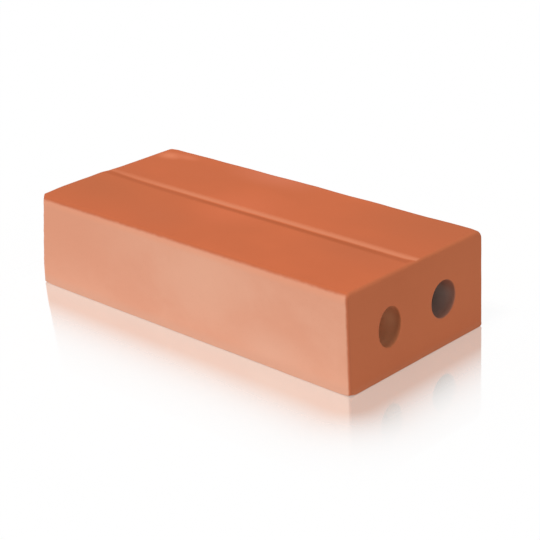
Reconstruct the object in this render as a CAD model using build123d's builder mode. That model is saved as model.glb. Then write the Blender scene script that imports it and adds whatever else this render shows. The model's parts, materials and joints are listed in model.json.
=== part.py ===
from build123d import *
import os

# A facing brick of fired clay: one extruded column, cut to length by wires. It lies on its bed face.
# Sizes are in millimetres. The origin is the middle of the bed face, +X runs along the length,
# +Y points to the back stretcher face and +Z points up.

# Overall size, with the length measured along the top
brick_length = 230.0
brick_width = 105.0
brick_height = 54.0

# The left end was cut out of square, so the bed is longer than the top by this much
left_cut_lean = 3.0

# Two round cores that run the whole length, side by side
core_radius = 9.5
core_spacing = 42.0
core_height = 26.6
core_mouth_rounding = 0.6

# Scored line along the top: a long slope down from the front and a shorter one up behind
score_front_slope = 4.6
score_back_slope = 3.6
score_depth = 0.8
score_lip_rounding = 3.0
score_root_rounding = 0.6

# The die stood off centre: the cores and the score lie this far in front of the middle
die_offset = 1.5

# Arrises along the top, those up the sides and over the top of the cut ends, and those round the bed
front_top_rounding = 1.6
back_top_rounding = 4.0
cut_end_rounding = 1.7
bed_rounding = 0.8

# Top front corner knocked off at the left end: how far along the top edges and how far down
broken_reach = 4.6
broken_drop = 46.0

# Section through the die: the outline with its score, and the two cores
half_width = brick_width / 2
score_root = -die_offset + (score_front_slope - score_back_slope) / 2
score_front = score_root - score_front_slope
score_back = score_root + score_back_slope

# The bed runs from end to end, and the top starts further in at the left
bed_length = brick_length + left_cut_lean
left_bed = -bed_length / 2
left_top = left_bed + left_cut_lean

with BuildPart() as brick:
    with BuildSketch(Plane.YZ.offset(left_bed)):
        with BuildLine():
            FilletPolyline(
                (-half_width, 0),
                (half_width, 0),
                (half_width, brick_height),
                (score_back, brick_height),
                (score_root, brick_height - score_depth),
                (score_front, brick_height),
                (-half_width, brick_height),
                radius=[
                    0,
                    0,
                    back_top_rounding,
                    score_lip_rounding,
                    score_root_rounding,
                    score_lip_rounding,
                    front_top_rounding,
                ],
                close=True,
            )
        make_face()
        with Locations((-die_offset, core_height)):
            with GridLocations(core_spacing, 0, 2, 1):
                Circle(core_radius, mode=Mode.SUBTRACT)
    extrude(amount=bed_length)

    # The wire that cut the left end leaned inwards at the top
    left_cut = Plane(origin=(left_bed, 0, 0), z_dir=(-brick_height, 0, left_cut_lean))
    split(bisect_by=left_cut, keep=Keep.BOTTOM)

    # Arrises of the cut ends, all but the one on the bed, then those round the bed
    flat_faces = brick.faces().filter_by(GeomType.PLANE).sort_by(Axis.X)
    end_arrises = [edge for end in (flat_faces[0], flat_faces[-1])
                   for edge in end.outer_wire().edges().sort_by(Axis.Z)[1:]]
    fillet(end_arrises, radius=cut_end_rounding)
    bed_face = brick.faces().sort_by(Axis.Z)[0]
    fillet(bed_face.outer_wire().edges(), radius=bed_rounding)

    # Mouths of the cores
    flat_faces = brick.faces().filter_by(GeomType.PLANE).sort_by(Axis.X)
    core_mouths = [edge for end in (flat_faces[0], flat_faces[-1])
                   for wire in end.inner_wires() for edge in wire.edges()]
    fillet(core_mouths, radius=core_mouth_rounding)

    # The broken corner is a flat cut through three points on the edges that met there
    corner = Vector(left_top, -half_width, brick_height)
    left_arris = Vector(left_bed, -half_width, 0) - corner
    on_front_edge = corner + Vector(broken_reach, 0, 0)
    on_end_edge = corner + Vector(0, broken_reach, 0)
    below_corner = corner + left_arris * (broken_drop / brick_height)
    towards_break = (on_front_edge - below_corner).cross(on_end_edge - below_corner)
    split(bisect_by=Plane(origin=below_corner, z_dir=towards_break), keep=Keep.BOTTOM)

brick.part.label = "brick"
os.makedirs("parts", exist_ok=True)
export_step(brick.part, "parts/brick.step")
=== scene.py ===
import json
import math

import bmesh
import bpy
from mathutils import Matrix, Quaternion, Vector, noise


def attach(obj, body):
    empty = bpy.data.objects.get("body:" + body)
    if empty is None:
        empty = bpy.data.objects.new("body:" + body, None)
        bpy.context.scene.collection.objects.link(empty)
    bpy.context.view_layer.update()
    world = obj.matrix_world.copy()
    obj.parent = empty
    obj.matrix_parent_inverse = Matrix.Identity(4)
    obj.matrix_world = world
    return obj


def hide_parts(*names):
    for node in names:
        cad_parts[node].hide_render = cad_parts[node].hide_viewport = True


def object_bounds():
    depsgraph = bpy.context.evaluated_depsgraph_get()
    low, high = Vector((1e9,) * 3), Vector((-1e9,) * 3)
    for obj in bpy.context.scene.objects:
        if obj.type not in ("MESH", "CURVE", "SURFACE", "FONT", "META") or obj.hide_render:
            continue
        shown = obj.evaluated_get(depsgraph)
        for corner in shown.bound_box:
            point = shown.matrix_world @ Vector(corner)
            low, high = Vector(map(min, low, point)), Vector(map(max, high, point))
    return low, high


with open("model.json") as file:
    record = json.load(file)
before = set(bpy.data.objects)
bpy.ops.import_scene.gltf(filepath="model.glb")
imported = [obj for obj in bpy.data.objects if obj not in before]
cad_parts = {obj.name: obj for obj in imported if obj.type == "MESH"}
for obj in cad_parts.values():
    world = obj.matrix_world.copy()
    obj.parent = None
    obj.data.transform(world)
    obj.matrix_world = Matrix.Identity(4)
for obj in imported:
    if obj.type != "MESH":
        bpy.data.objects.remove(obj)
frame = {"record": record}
cadLow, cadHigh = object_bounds()

halfLength, halfWidth, height = cadHigh.x, cadHigh.y, cadHigh.z
middle = height / 2
mounts = {mount["name"]: mount for mount in frame["record"]["mounts"]}
cores = [Vector(mounts[name]["pos_m"]) for name in ("core_front", "core_back")]
coreRadius = mounts["core_front"]["dims"]["r_mm"] / 1000


# Camera

cameraView = {
    "azimuth": 44.95,               # degrees round from the front, towards the right end
    "elevation": 22.68,
    "roll": -3.08,
    "distance": 0.8548,
    "aim": (0.00796, 0.00640, 0.01928),
    "lens": 104.83,                 # mm, on a sensor 36 mm wide
    "nearest": 0.01,                # where it starts to see
}


def addCamera(view):
    around, above = math.radians(view["azimuth"]), math.radians(view["elevation"])
    level = math.cos(above)
    back = Vector((math.sin(around) * level, -math.cos(around) * level, math.sin(above)))
    turn = Quaternion((0, 0, 1), math.radians(view["roll"]))
    camera = bpy.data.objects.new("camera", bpy.data.cameras.new("camera"))
    camera.data.lens = view["lens"]
    camera.data.clip_start = view["nearest"]
    camera.location = Vector(view["aim"]) + back * view["distance"]
    camera.rotation_mode = "QUATERNION"
    camera.rotation_quaternion = back.to_track_quat("Z", "Y") @ turn
    bpy.context.scene.collection.objects.link(camera)
    bpy.context.scene.camera = camera


# Brick body, all in metres

brickShape = {
    "cell": 0.0016,                 # grid on the flat faces, and finer cuts by the arrises and the score
    "arrisCuts": (0.0003, 0.0007, 0.0012, 0.0018, 0.0026, 0.0036, 0.0048),
    "scoreCuts": (-0.0080, -0.0062, -0.0056, -0.0050, -0.0038, -0.0024, -0.0014, -0.0010, -0.0006, -0.0002,
                  0.0004, 0.0012, 0.0020, 0.0024, 0.0028, 0.0036, 0.0050),
    "weld": 0.000001,               # points closer together than this are one
    "frontTop": 0.0016,             # how round each long arris is
    "backTop": 0.0040,
    "frontBed": 0.0005,
    "backBed": 0.0010,
    "cutEnd": 0.0017,               # and the arrises of the cut ends
    "cutEndBed": 0.0005,            # which are tighter along the bed and up the front
    "cutEndFront": 0.0008,
    "arrisWander": 0.25,            # how much the roundings vary, as a share
    "arrisWave": 0.020,             # over what length, for the long ones and for those of the ends
    "cutWave": 0.015,
    "cornerWear": 0.0012,           # extra rounding where a long arris runs out at an end
    "cornerReach": 0.007,
    "scoreFront": -0.0058,          # where the score's long slope starts, its root and its far lip
    "scoreRoot": -0.0010,
    "scoreBack": 0.0024,
    "scoreDepth": 0.0008,
    "scoreLeft": (0.2, 0.030),      # share of the depth left at the end, and how far in it is full again
    "scoreRight": (0.2, 0.009),
    "topSoak": 0.008,               # how far down the sides what happens on the top dies away
    "coreSquare": 0.0128,           # half the side of the patch round each core mouth
    "coreRings": 4,
    "coreMouth": 0.0006,            # rounding of the mouth
    "coreMouthSteps": 3,
    "coreSteps": 40,                # rings down to the middle
    "coreSpread": 1.6,              # above 1 they stand closer together near the mouth
    "coreSqueeze": ((-0.13, 0.12), (-0.005, 0.05)),     # how far the wire left each mouth out of round
    "coreDrag": (0.0005, -0.0002),  # and how far it dragged them sideways and up
    "coreSqueezeReach": 0.006,
    "leftLean": 0.0030,             # the left cut leans in at the top
    "leanReach": 0.03,
    "breakLeft": (0.0046, 0.0046, 0.046),       # knocked off the left top corner along X, Y and Z
    "breakRight": (0.0025, 0.0050, 0.0016),     # and off the right bottom corner
    "breakRough": 0.00018,          # how deep the roughness of a break is, and how long
    "breakGrain": 0.003,
    "swell": 0.00070,               # the front half of the top stands proud at the left end
    "swellCrest": 0.00012,
    "swellReach": 0.055,
    "swellFoot": (-0.051, -0.033),  # where across the top it rises, rises again and falls
    "swellRise": (-0.016, -0.008),
    "swellFall": (-0.009, 0.008),
    "wave": 0.00012,                # slow unevenness of all faces
    "waveLength": 0.045,
    "dent": 0.00005,                # finer unevenness
    "dentLength": 0.007,
    "noise": {                      # where in the noise each of them is read
        "front": 110.0,
        "back": 105.0,
        "end": 7.0,
        "break": 5.0,
        "wave": 21.0,
        "dent": 31.0,
    },
}


def breakPlane(corner, alongX, alongY, alongZ):
    # a point on the plane that cuts the three edges at a corner, and the direction out of the brick
    out = (alongX - alongZ).cross(alongY - alongZ).normalized()
    return corner + alongZ, out if out.dot(alongZ) < 0 else -out


topCorner = Vector((brickShape["leftLean"] - halfLength, -halfWidth, height))
bedCorner = Vector((halfLength, -halfWidth, 0))
acrossLeft, alongLeft, downLeft = brickShape["breakLeft"]
acrossRight, alongRight, upRight = brickShape["breakRight"]
leftArris = Vector((-halfLength, -halfWidth, 0)) - topCorner
leftCuts = (Vector((acrossLeft, 0, 0)), Vector((0, alongLeft, 0)), leftArris * downLeft / height)
rightCuts = (Vector((-acrossRight, 0, 0)), Vector((0, alongRight, 0)), Vector((0, 0, upRight)))
breaks = [breakPlane(topCorner, *leftCuts), breakPlane(bedCorner, *rightCuts)]


def fillBetween(stations, cell):
    # keeps the given places, to a micrometre, and adds evenly spaced ones in the gaps
    stations = sorted(set(round(place, 6) for place in stations))
    places = []
    for start, end in zip(stations, stations[1:]):
        count = max(1, round((end - start) / cell))
        places += [start + (end - start) * step / count for step in range(count)]
    return places + [stations[-1]]


def sliceAlong(mesh, axis, places):
    normal = Vector((0.0, 0.0, 0.0))
    normal[axis] = 1.0
    for place in places:
        everything = mesh.verts[:] + mesh.edges[:] + mesh.faces[:]
        bmesh.ops.bisect_plane(mesh, geom=everything, plane_co=normal * place, plane_no=normal)


def slicedBlock(shape):
    mesh = bmesh.new()
    bmesh.ops.create_cube(mesh, size=2.0)
    bmesh.ops.scale(mesh, verts=mesh.verts, vec=(halfLength, halfWidth, middle))
    bmesh.ops.translate(mesh, verts=mesh.verts, vec=(0, 0, middle))
    cuts, square = shape["arrisCuts"], shape["coreSquare"]
    alongX = [side * (halfLength - cut) for cut in cuts for side in (-1, 1)]
    alongY = [side * (halfWidth - cut) for cut in cuts for side in (-1, 1)] + list(shape["scoreCuts"])
    alongY += [core.y + side * square for core in cores for side in (-1, 1)]
    alongZ = [middle + side * (middle - cut) for cut in cuts for side in (-1, 1)]
    alongZ += [cores[0].z + side * square for side in (-1, 1)]
    for axis, stations in enumerate((alongX, alongY, alongZ)):
        sliceAlong(mesh, axis, fillBetween(stations, shape["cell"]))
    return mesh


def runInwards(mesh, rim, core, place, radius, share=1.0):
    # extrudes the rim of a hole to the next ring and returns the new rim with its vertices
    made = bmesh.ops.extrude_edge_only(mesh, edges=rim)["geom"]
    ring = [item for item in made if isinstance(item, bmesh.types.BMVert)]
    for vert in ring:
        out = Vector((0.0, vert.co.y - core.y, vert.co.z - core.z))
        reach = out.length + (radius - out.length) * share
        vert.co = Vector((place, core.y, core.z)) + out.normalized() * reach
    return [item for item in made if isinstance(item, bmesh.types.BMEdge) and item.is_boundary], ring


def openCore(mesh, core, side, shape, inside):
    end, tiny = side * halfLength, shape["weld"]
    square = shape["coreSquare"] + tiny
    patch = [
        face for face in mesh.faces
        if all(abs(vert.co.x - end) < tiny and abs(vert.co.y - core.y) < square
               and abs(vert.co.z - core.z) < square for vert in face.verts)
    ]
    bmesh.ops.delete(mesh, geom=patch, context="FACES")
    rim = [edge for edge in mesh.edges if edge.is_boundary and abs(edge.verts[0].co.x - end) < tiny]
    mouth, rings, steps = shape["coreMouth"], shape["coreRings"], shape["coreMouthSteps"]
    for ring in range(rings):
        rim, made = runInwards(mesh, rim, core, end, coreRadius + mouth, 1 / (rings - ring))
    for step in range(1, steps + 1):
        turn = math.pi / 2 * step / steps
        place = end - side * mouth * (1 - math.cos(turn))
        rim, made = runInwards(mesh, rim, core, place, coreRadius + mouth * (1 - math.sin(turn)))
        for vert in made:
            vert[inside] = step / steps
    start = halfLength - mouth
    for step in range(1, shape["coreSteps"] + 1):
        place = side * start * (1 - (step / shape["coreSteps"]) ** shape["coreSpread"])
        rim, made = runInwards(mesh, rim, core, place, coreRadius)
        for vert in made:
            vert[inside] = 1.0


def smoothStep(value, start, end):
    share = min(1.0, max(0.0, (value - start) / (end - start)))
    return share * share * (3 - 2 * share)


def wander(point, length, seed):
    # slow noise from -1 to 1 that changes over the given length
    return noise.noise(point / length + Vector((seed, seed * 1.7, seed * 0.3)))


def arrisRounding(point, shape):
    side = "back" if point.y > 0 else "front"
    name = side + ("Top" if point.z > middle else "Bed")
    along = Vector((point.x, 0.0, 0.0))
    uneven = 1 + shape["arrisWander"] * wander(along, shape["arrisWave"], shape["noise"][side])
    nearEnd = 1 - smoothStep(halfLength - abs(point.x), 0.0, shape["cornerReach"])
    return shape[name] * uneven + shape["cornerWear"] * nearEnd


def roundOff(point, shape):
    # lays a point of the square block on the rounded one
    rounding = arrisRounding(point, shape)
    sideY, sideZ = math.copysign(1, point.y), math.copysign(1, point.z - middle)
    pastY = abs(point.y) - (halfWidth - rounding)
    pastZ = abs(point.z - middle) - (middle - rounding)
    if pastY > 0 and pastZ > 0:
        reach = max(pastY, pastZ)
        outward = Vector((0.0, sideY * pastY, sideZ * pastZ)).normalized()
        point.y = sideY * (halfWidth - rounding) + outward.y * reach
        point.z = middle + sideZ * (middle - rounding) + outward.z * reach
        depth = rounding - reach
    elif pastY > pastZ:
        depth, outward = rounding - pastY, Vector((0.0, sideY, 0.0))
    else:
        depth, outward = rounding - pastZ, Vector((0.0, 0.0, sideZ))
    endRounding = shape["cutEnd"] + (shape["cutEndBed"] - shape["cutEnd"]) * max(0.0, -outward.z)
    endRounding += (shape["cutEndFront"] - shape["cutEnd"]) * max(0.0, -outward.y)
    across = Vector((0.0, point.y, point.z))
    endRounding *= 1 + shape["arrisWander"] * wander(across, shape["cutWave"], shape["noise"]["end"])
    toEnd = halfLength - abs(point.x)
    insideSkin, insideEnd = endRounding - depth, endRounding - toEnd
    if insideSkin > 0 and insideEnd > 0:
        squeeze = max(insideSkin, insideEnd) / math.hypot(insideSkin, insideEnd)
        point -= outward * insideSkin * (1 - squeeze)
        point.x -= math.copysign(insideEnd * (1 - squeeze), point.x)
    return point


def scoreDepthAt(x, y, shape):
    if not shape["scoreFront"] < y < shape["scoreBack"]:
        return 0.0
    foot = shape["scoreFront"] if y < shape["scoreRoot"] else shape["scoreBack"]
    depth = shape["scoreDepth"] * (y - foot) / (shape["scoreRoot"] - foot)
    ends = ((shape["scoreLeft"], halfLength + x), (shape["scoreRight"], halfLength - x))
    for (share, reach), toEnd in ends:
        depth *= share + (1 - share) * smoothStep(toEnd, 0.0, reach)
    return depth


def swellAt(x, y, shape):
    nearEnd = 1 - smoothStep(halfLength + x, 0.0, shape["swellReach"])
    plateau = shape["swell"] * smoothStep(y, *shape["swellFoot"])
    plateau += shape["swellCrest"] * smoothStep(y, *shape["swellRise"])
    return nearEnd * plateau * (1 - smoothStep(y, *shape["swellFall"]))


def shapeTop(point, shape):
    share = 1 - (height - point.z) / shape["topSoak"]
    if share > 0:
        point.z += share * (swellAt(point.x, point.y, shape) - scoreDepthAt(point.x, point.y, shape))
    return point


def squeezeMouth(point, core, squeeze, shape):
    # the wire dragged the mouths out of round at the end that shows
    nearEnd = 1 - smoothStep(halfLength - point.x, 0.0, shape["coreSqueezeReach"])
    beside, above = point.y - core.y, point.z - core.z
    mouthRadius = coreRadius + shape["coreMouth"]
    share = nearEnd * (1 - smoothStep(math.hypot(beside, above), mouthRadius, shape["coreSquare"]))
    point.y += (beside * squeeze[0] + shape["coreDrag"][0]) * share
    point.z += (above * squeeze[1] + shape["coreDrag"][1]) * share
    return point


def unsquareEnd(point, shape):
    nearEnd = 1 - smoothStep(point.x + halfLength, 0.0, shape["leanReach"])
    point.x += shape["leftLean"] * nearEnd * point.z / height
    return point


def knockCorner(point, foot, out, shape):
    # lays what lies outside the break on its plane, which is a little rough
    above = (point - foot).dot(out)
    if above > 0:
        uneven = 0.5 + wander(point, shape["breakGrain"], shape["noise"]["break"])
        point -= out * (above + shape["breakRough"] * uneven)
    return point


def roughenFaces(mesh, shape):
    mesh.normal_update()
    moves = []
    for vert in mesh.verts:
        swell = shape["wave"] * wander(vert.co, shape["waveLength"], shape["noise"]["wave"])
        swell += shape["dent"] * wander(vert.co, shape["dentLength"], shape["noise"]["dent"])
        moves.append(vert.normal * swell)
    for vert, move in zip(mesh.verts, moves):
        vert.co += move
        vert.co.z = max(vert.co.z, 0.0)


def sortFaces(mesh):
    # extrusions list their faces differently on each run, so they are sorted by their corners
    mesh.verts.index_update()
    count = len(mesh.verts)

    def order(face):
        first, second, third = sorted(vert.index for vert in face.verts)[:3]
        return (first * count + second) * count + third

    mesh.faces.sort(key=order)


def makeBrick(shape):
    mesh = slicedBlock(shape)
    print("block sliced,", len(mesh.faces), "faces")
    inside = mesh.verts.layers.float.new("insideCore")
    for core in cores:
        for side in (-1, 1):
            openCore(mesh, core, side, shape, inside)
    bmesh.ops.remove_doubles(mesh, verts=mesh.verts, dist=shape["weld"])
    print("cores opened,", len(mesh.faces), "faces")
    for vert in mesh.verts:
        point = roundOff(vert.co.copy(), shape)
        point = shapeTop(point, shape)
        for core, squeeze in zip(cores, shape["coreSqueeze"]):
            point = squeezeMouth(point, core, squeeze, shape)
        point = unsquareEnd(point, shape)
        for foot, out in breaks:
            point = knockCorner(point, foot, out, shape)
        vert.co = point
    roughenFaces(mesh, shape)
    bmesh.ops.recalc_face_normals(mesh, faces=mesh.faces)
    sortFaces(mesh)
    for face in mesh.faces:
        face.smooth = True
    data = bpy.data.meshes.new("firedBrick")
    mesh.to_mesh(data)
    mesh.free()
    piece = bpy.data.objects.new("firedBrick", data)
    bpy.context.scene.collection.objects.link(piece)
    return piece


# Shader maths

def tone(red, green, blue):
    # a colour as a picture editor shows it, 0 to 255, made linear for the shader
    def linear(part):
        part /= 255
        return part / 12.92 if part <= 0.04045 else ((part + 0.055) / 1.055) ** 2.4
    return (linear(red), linear(green), linear(blue), 1.0)


def between(low, high, share):
    return low + (high - low) * share


class Wire:
    # the output of a node, used in sums like a number
    def __init__(self, maker, socket):
        self.maker = maker
        self.socket = socket

    def maths(self, operation, *parts):
        return self.maker.node("ShaderNodeMath", {"operation": operation}, dict(enumerate(parts)))

    def __add__(self, other):
        return self.maths("ADD", self, other)

    def __radd__(self, other):
        return self.maths("ADD", other, self)

    def __sub__(self, other):
        return self.maths("SUBTRACT", self, other)

    def __rsub__(self, other):
        return self.maths("SUBTRACT", other, self)

    def __mul__(self, other):
        return self.maths("MULTIPLY", self, other)

    def __rmul__(self, other):
        return self.maths("MULTIPLY", other, self)

    def __pow__(self, other):
        return self.maths("POWER", self, other)

    def __rpow__(self, other):
        return self.maths("POWER", other, self)

    def __abs__(self):
        return self.maths("ABSOLUTE", self)

    def atLeast(self, other):
        return self.maths("MAXIMUM", self, other)

    def atMost(self, other):
        return self.maths("MINIMUM", self, other)


class NodeMaker:
    # adds nodes to one material or world
    def __init__(self, owner):
        owner.use_nodes = True
        self.tree = owner.node_tree
        self.tree.nodes.clear()

    def node(self, kind, settings={}, inputs={}, output=0):
        made = self.tree.nodes.new(kind)
        for name, value in settings.items():
            setattr(made, name, value)
        for name, value in inputs.items():
            if isinstance(value, Wire):
                self.tree.links.new(value.socket, made.inputs[name])
            else:
                made.inputs[name].default_value = value
        return Wire(self, made.outputs[output]) if made.outputs else None

    def mixColour(self, share, first, second):
        # a Mix node takes its colours at sockets 6 and 7 and gives one at 2
        return self.node("ShaderNodeMix", {"data_type": "RGBA"}, {0: share, 6: first, 7: second}, 2)

    def fade(self, value, start, end):
        # 0 before start, 1 past end, smooth between
        inputs = {"Value": value, "From Min": start, "From Max": end}
        return self.node("ShaderNodeMapRange", {"interpolation_type": "SMOOTHSTEP"}, inputs)

    def band(self, value, rise, fall):
        # fades in over the first stretch and out over the second
        return self.fade(value, *rise) * (1 - self.fade(value, *fall))

    def mapped(self, place, scale, location=(0, 0, 0)):
        return self.node("ShaderNodeMapping", {}, {"Vector": place, "Scale": scale, "Location": location})

    def cloud(self, place, length, detail, roughness=0.5, scale=(1, 1, 1), location=(0, 0, 0)):
        # noise from 0 to 1 whose patches are about one length across, and longer where scale is small
        inputs = {"Scale": 1 / length, "Detail": detail, "Roughness": roughness}
        inputs["Vector"] = self.mapped(place, scale, location)
        return self.node("ShaderNodeTexNoise", {}, inputs)

    def pool(self, place, centre, size):
        # 1 at the centre, fading out one size away from it
        scale = [1 / part for part in size]
        location = [-centrePart / part for centrePart, part in zip(centre, size)]
        inputs = {"Vector": self.mapped(place, scale, location)}
        ball = self.node("ShaderNodeTexGradient", {"gradient_type": "SPHERICAL"}, inputs, "Fac")
        return self.fade(ball, 0.0, 1.0)

    def pools(self, place, colour, changes):
        for changed, centre, size in changes:
            colour = self.mixColour(self.pool(place, centre, size), colour, changed)
        return colour


# Fired clay

clayLook = {
    "topDeep": tone(200, 105, 65),
    "topBright": tone(206, 108, 67),
    # the top's tone darker on its long arrises: painted shade against the extra light they catch
    "topArrisShade": tone(194, 104, 67),
    "topPools": (                   # slow changes of tone, each with its middle and reach
        (tone(193, 104, 65), (-0.100, -0.022, height), (0.090, 0.040, 0.03)),
        # these two darken the top towards the right end: painted shade
        (tone(190, 102, 64), (0.102, 0.045, height), (0.080, 0.052, 0.03)),
        (tone(195, 104, 66), (0.085, -0.009, height), (0.052, 0.024, 0.03)),
        (tone(209, 115, 80), (-0.025, 0.048, height), (0.045, 0.020, 0.03)),
        (tone(211, 111, 71), (-0.006, 0.000, height), (0.038, 0.036, 0.03)),
        (tone(197, 105, 66), (-0.032, -0.034, height), (0.034, 0.020, 0.03)),
        (tone(223, 129, 90), (-0.1030, 0.0390, height), (0.0125, 0.0080, 0.01)),    # a paler streak at the left
        (tone(214, 118, 80), (-0.0920, 0.0425, height), (0.0130, 0.0060, 0.01)),
    ),
    "endDeep": tone(191, 106, 68),
    "endBright": tone(194, 109, 71),
    # the end's tone darker by its upright arrises: painted shade against the extra light they catch
    "endArrisShade": tone(184, 103, 69),
    "endPools": ((tone(196, 110, 71), (halfLength, 0.030, 0.028), (0.020, 0.060, 0.060)),),
    "endBed": tone(195, 115, 79),   # paler down by the bed
    "endBedFade": (0.0050, 0.0002),
    "cutReach": (0.0012, 0.0032),   # how far the end's tone comes round its arrises, at the top and below
    "cutWiden": (0.0010, 0.0030),
    "cutFade": (-0.0010, 0.0012),
    "sideFade": (0.0004, 0.0016),   # how far the long faces' tone comes round, and the top's
    "topFade": (0.0015, 0.0030),
    "clayCloud": {"length": 0.050, "detail": 3.0, "scale": (0.6, 1, 1)},
    "clayPatchy": (0.35, 0.65),

    "paintedLightWarm": tone(222, 156, 127),            # painted light: the long faces made paler, standing in for the strong front light on them
    "paintedLightPale": tone(226, 165, 137),
    "paintedLightPools": (
        (tone(222, 153, 123), (-0.110, -halfWidth, 0.042), (0.110, 0.03, 0.060)),
        (tone(227, 168, 140), (0.018, -halfWidth, 0.038), (0.045, 0.03, 0.030)),
        (tone(226, 168, 141), (0.064, -halfWidth, 0.008), (0.040, 0.03, 0.020)),
    ),
    "paintedLightCloud": {
        "length": 0.045,
        "detail": 4.0,
        "roughness": 0.62,
        "scale": (0.7, 1, 1),
        "location": (0.3, 0, 0),
    },
    "paintedLightPatchy": (0.3, 0.7),
    "paintedLightRim": tone(232, 157, 124), # along its upper edge, a painted highlight on the arris
    "paintedLightRimFade": (0.0066, 0.0020),
    "paintedLightRimShare": 0.6,
    "paintedLightBed": tone(218, 162, 136), # and duller down by the bed
    "paintedLightBedFade": (0.0080, 0.0002),
    "paintedLightTop": (0.0003, 0.0025),    # how far below the top the painted light starts, and where it is full
    "paintedLightRise": 0.0025,             # how much higher it reaches for each metre to the right
    "paintedLightEnd": (0.0003, 0.0020),    # the same in from the right end
    "paintedLightBreak": (0.0006, 0.0012),  # and round the edge of the broken corner
    "paintedLightRagged": 0.0008,           # how far its edges wander
    "paintedLightEdge": {"length": 0.004, "detail": 3.0},

    "scoreShade": tone(175, 87, 45),            # the score's long slope, stronger along its middle
    "shadeShare": (0.45, 0.67),
    "shadeStretch": ((-0.045, -0.020), (0.080, 0.105)),
    "shadeRise": (brickShape["scoreFront"] - 0.0018, brickShape["scoreFront"] + 0.0014),
    "shadeFall": (brickShape["scoreRoot"] - 0.0014, brickShape["scoreRoot"] + 0.0003),
    "shadeEnd": (0.0012, 0.0040),
    "scoreLight": tone(217, 133, 97),           # and its short one, painted light, weaker towards the left
    "lightShare": (0.405, 0.9),
    "lightStretch": (0.0, 0.080),
    "lightRise": (brickShape["scoreRoot"] - 0.0002, brickShape["scoreRoot"] + 0.0012),
    "lightFall": (brickShape["scoreRoot"] + 0.0012, brickShape["scoreBack"] + 0.0018),
    "lightEnd": (0.0004, 0.0016),

    "mouthFront": tone(169, 94, 56),            # the front core at its mouth, painted darker where the light falls in, and further in, painted much paler to lift the shade of the bore
    "liningFront": tone(250, 190, 146),
    "mouthBack": tone(149, 93, 71),             # and the back one, painted the same way but greyer
    "liningBack": tone(186, 169, 160),
    "coreSplit": (-0.003, 0.001),
    "liningFade": (-0.003, 0.013),
    "ceilingFade": (cores[0].z - 0.003, cores[0].z + 0.007),
    "ceilingShare": (0.55, 0.95),   # how much of the change of tone the ceiling of each one lacks, so the ceiling keeps the painted shade of the mouth

    "speckDark": tone(150, 78, 50),
    "speckShare": 0.10,
    "speckCloud": {"length": 0.0008, "detail": 3.0, "roughness": 0.7},
    "speckFade": (0.58, 0.75),
    "grainCloud": {"length": 0.0008, "detail": 4.0, "roughness": 0.65},
    "grainDepth": 0.5,
    "dragCloud": {"length": 0.0011, "detail": 2.0, "scale": (0.02, 1, 1)},      # fine lines from the die
    "dragDepth": 0.35,
    "wireCloud": {"length": 0.0011, "detail": 3.0, "scale": (1, 0.05, 1)},      # and from the wire
    "wireDepth": 0.8,
    "bump": 0.5,
    "bumpDepth": 0.00012,
    "roughness": (0.84, 0.97),
    "shine": 0.2,
}


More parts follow.
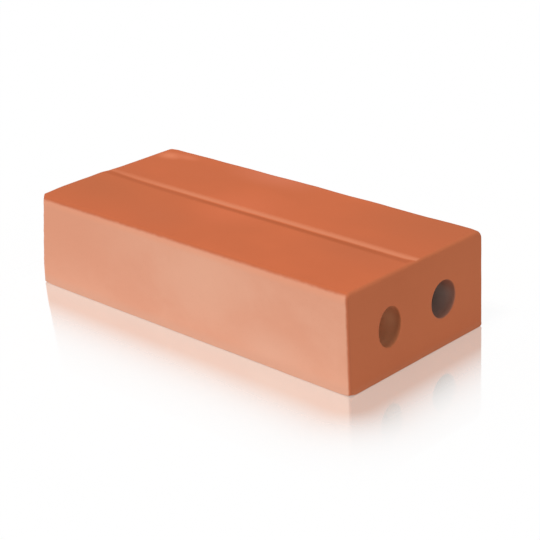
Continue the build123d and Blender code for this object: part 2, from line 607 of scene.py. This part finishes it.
def firedClay(look):
    material = bpy.data.materials.new("firedClay")
    maker = NodeMaker(material)
    place = maker.node("ShaderNodeTexCoord", output="Object")
    x, y, z = (maker.node("ShaderNodeSeparateXYZ", {}, {"Vector": place}, axis) for axis in "XYZ")
    inCore = maker.node("ShaderNodeAttribute", {"attribute_name": "insideCore"}, output="Fac")

    # where things are on the brick
    down = height - z
    toEnd = (halfLength - x).atMost(x + halfLength - z * (brickShape["leftLean"] / height))
    cutReach = between(*look["cutReach"], maker.fade(down, *look["cutWiden"]))
    cutFace = 1 - maker.fade(toEnd - cutReach, *look["cutFade"])
    onSide = 1 - maker.fade(halfWidth - abs(y), *look["sideFade"])
    onTop = 1 - maker.fade(down, *look["topFade"])

    # the edges of the painted light on the long faces
    ragged = (maker.cloud(place, **look["paintedLightEdge"]) - 0.5) * look["paintedLightRagged"]
    belowTop = maker.fade(down - ragged + x * look["paintedLightRise"], *look["paintedLightTop"])
    offEnd = maker.fade(halfLength - x + ragged, *look["paintedLightEnd"])
    foot, out = breaks[0]
    along = maker.node("ShaderNodeVectorMath", {"operation": "DOT_PRODUCT"}, {0: place, 1: out}, "Value")
    onBreak = 1 - maker.fade(foot.dot(out) - along, *look["paintedLightBreak"])
    paintedLight = onSide.atLeast(onBreak) * belowTop * offEnd

    # the score's slopes
    longSlope = maker.band(y, look["shadeRise"], look["shadeFall"]) * onTop
    longSlope *= between(*look["shadeShare"], maker.band(x, *look["shadeStretch"]))
    longSlope *= maker.fade(toEnd, *look["shadeEnd"])
    shortSlope = maker.band(y, look["lightRise"], look["lightFall"]) * onTop
    shortSlope *= between(*look["lightShare"], maker.fade(x + halfLength, *look["lightStretch"]))
    shortSlope *= maker.fade(toEnd, *look["lightEnd"])

    # colours
    clayCloud = maker.cloud(place, **look["clayCloud"])
    patchy = maker.fade(clayCloud, *look["clayPatchy"])
    clay = maker.mixColour(patchy, look["topDeep"], look["topBright"])
    # painted shade on the top's arrises by the long faces
    clay = maker.mixColour(onSide, maker.pools(place, clay, look["topPools"]), look["topArrisShade"])
    endClay = maker.mixColour(patchy, look["endDeep"], look["endBright"])
    endClay = maker.pools(place, endClay, look["endPools"])
    endClay = maker.mixColour(maker.fade(z, *look["endBedFade"]), endClay, look["endBed"])
    # painted shade on the end's arrises by the long faces
    clay = maker.mixColour(cutFace, clay, maker.mixColour(onSide, endClay, look["endArrisShade"]))
    # painted light on the long faces, paler than their clay
    paintedLightPatchy = maker.fade(maker.cloud(place, **look["paintedLightCloud"]), *look["paintedLightPatchy"])
    pale = maker.mixColour(paintedLightPatchy, look["paintedLightWarm"], look["paintedLightPale"])
    pale = maker.pools(place, pale, look["paintedLightPools"])
    rim = maker.fade(down, *look["paintedLightRimFade"]) * look["paintedLightRimShare"]
    pale = maker.mixColour(rim, pale, look["paintedLightRim"])
    pale = maker.mixColour(maker.fade(z, *look["paintedLightBedFade"]), pale, look["paintedLightBed"])
    # painted shade on the score's long slope, painted light on its short one
    colour = maker.mixColour(longSlope, clay, look["scoreShade"])
    colour = maker.mixColour(shortSlope, colour, look["scoreLight"])
    colour = maker.mixColour(paintedLight, colour, pale)
    speck = maker.fade(maker.cloud(place, **look["speckCloud"]), *look["speckFade"])
    colour = maker.mixColour(speck * look["speckShare"], colour, look["speckDark"])

    # inside the cores: painted shade at the mouths and ceilings, painted light deeper in
    behind = maker.fade(y, *look["coreSplit"])
    ceiling = maker.fade(z, *look["ceilingFade"]) * between(*look["ceilingShare"], behind)
    deep = maker.fade(toEnd, *look["liningFade"]) * (1 - ceiling)
    liningFront = maker.mixColour(deep, look["mouthFront"], look["liningFront"])
    liningBack = maker.mixColour(deep, look["mouthBack"], look["liningBack"])
    colour = maker.mixColour(inCore, colour, maker.mixColour(behind, liningFront, liningBack))

    # surface
    grain = maker.cloud(place, **look["grainCloud"]) * look["grainDepth"]
    dragLines = maker.cloud(place, **look["dragCloud"]) * look["dragDepth"]
    wireLines = maker.cloud(place, **look["wireCloud"]) * look["wireDepth"]
    relief = grain + dragLines * (1 - cutFace) + wireLines * cutFace
    bumpInputs = {"Strength": look["bump"], "Distance": look["bumpDepth"], "Height": relief}
    inputs = {"Base Color": colour, "Specular IOR Level": look["shine"]}
    inputs["Roughness"] = between(*look["roughness"], clayCloud)
    inputs["Normal"] = maker.node("ShaderNodeBump", {}, bumpInputs)
    surface = maker.node("ShaderNodeBsdfPrincipled", {}, inputs)
    maker.node("ShaderNodeOutputMaterial", {}, {"Surface": surface})
    return material


# Studio: a white floor that mirrors the brick close by, an even sky and one soft lamp

studio = {
    "floorSize": 6.0,
    "floorGlow": 0.86,              # how much of the floor's white doesn't depend on the light
    "mirror": 0.628,                # how strong the mirroring is next to the brick
    "mirrorTint": (0.87, 0.94, 1.0),            # how much of each colour it mirrors
    "mirrorFrom": 0.0137,           # where it starts to fade, over what length and in what curve
    "mirrorFade": 0.0175,
    "mirrorCurve": 1.3,
    "mirrorBlur": 0.05,
    "sky": 0.46,
    "lamp": 1.85,
    "lampSpread": 16.0,             # degrees
    "lampFrom": (0.0, -0.40, 0.92),
}


def seenDirectly(maker):
    # by the camera, also by way of a mirror or through glass
    paths = [maker.node("ShaderNodeLightPath", output=name)
             for name in ("Is Camera Ray", "Is Glossy Ray", "Is Transmission Ray")]
    return paths[0].atLeast(paths[1]).atLeast(paths[2])


def paleSurface(maker, colour, glow):
    # matt, but for a share that shows its colour whatever light falls on it
    matt = maker.node("ShaderNodeBsdfDiffuse", {}, {"Color": colour})
    glowing = maker.node("ShaderNodeEmission", {}, {"Color": colour, "Strength": 1.0})
    return maker.node("ShaderNodeMixShader", {}, {0: seenDirectly(maker) * glow, 1: matt, 2: glowing})


def addFloor(look):
    mesh = bmesh.new()
    bmesh.ops.create_grid(mesh, x_segments=1, y_segments=1, size=look["floorSize"] / 2)
    data = bpy.data.meshes.new("floor")
    mesh.to_mesh(data)
    mesh.free()
    floor = bpy.data.objects.new("floor", data)
    bpy.context.scene.collection.objects.link(floor)
    material = bpy.data.materials.new("paleFloor")
    maker = NodeMaker(material)
    place = maker.node("ShaderNodeTexCoord", output="Object")
    x, y = (maker.node("ShaderNodeSeparateXYZ", {}, {"Vector": place}, axis) for axis in "XY")
    pastEnd = (abs(x) - halfLength).atLeast(0.0)
    pastSide = (abs(y) - halfWidth).atLeast(0.0)
    away = (pastEnd * pastEnd + pastSide * pastSide) ** 0.5
    faded = ((away - look["mirrorFrom"]) * (1 / look["mirrorFade"])).atLeast(0.0) ** look["mirrorCurve"]
    share = look["mirror"] * (math.exp(-1) ** faded)
    tint = (*look["mirrorTint"], 1)
    rest = paleSurface(maker, (*(1 - part for part in look["mirrorTint"]), 1), look["floorGlow"])
    mirror = maker.node("ShaderNodeBsdfAnisotropic", {}, {"Color": tint, "Roughness": look["mirrorBlur"]})
    mirroring = maker.node("ShaderNodeAddShader", {}, {0: mirror, 1: rest})
    plain = paleSurface(maker, (1, 1, 1, 1), look["floorGlow"])
    surface = maker.node("ShaderNodeMixShader", {}, {0: share, 1: plain, 2: mirroring})
    maker.node("ShaderNodeOutputMaterial", {}, {"Surface": surface})
    floor.data.materials.append(material)


def addSky(look):
    world = bpy.data.worlds.new("sky")
    bpy.context.scene.world = world
    maker = NodeMaker(world)
    soft = maker.node("ShaderNodeBackground", {}, {"Color": (1, 1, 1, 1), "Strength": look["sky"]})
    white = maker.node("ShaderNodeBackground", {}, {"Color": (1, 1, 1, 1), "Strength": 1.0})
    surface = maker.node("ShaderNodeMixShader", {}, {0: seenDirectly(maker), 1: soft, 2: white})
    maker.node("ShaderNodeOutputWorld", {}, {"Surface": surface})


def addLamp(look):
    lamp = bpy.data.objects.new("lamp", bpy.data.lights.new("lamp", "SUN"))
    lamp.data.energy = look["lamp"]
    lamp.data.angle = math.radians(look["lampSpread"])
    lamp.rotation_mode = "QUATERNION"
    lamp.rotation_quaternion = Vector(look["lampFrom"]).to_track_quat("Z", "Y")
    bpy.context.scene.collection.objects.link(lamp)


addCamera(cameraView)
brick = makeBrick(brickShape)
brick.data.materials.append(firedClay(clayLook))
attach(brick, "root")
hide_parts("brick")
print("brick dressed")
addFloor(studio)
addSky(studio)
addLamp(studio)
print("studio set")
bpy.context.scene.view_settings.view_transform = "Standard"
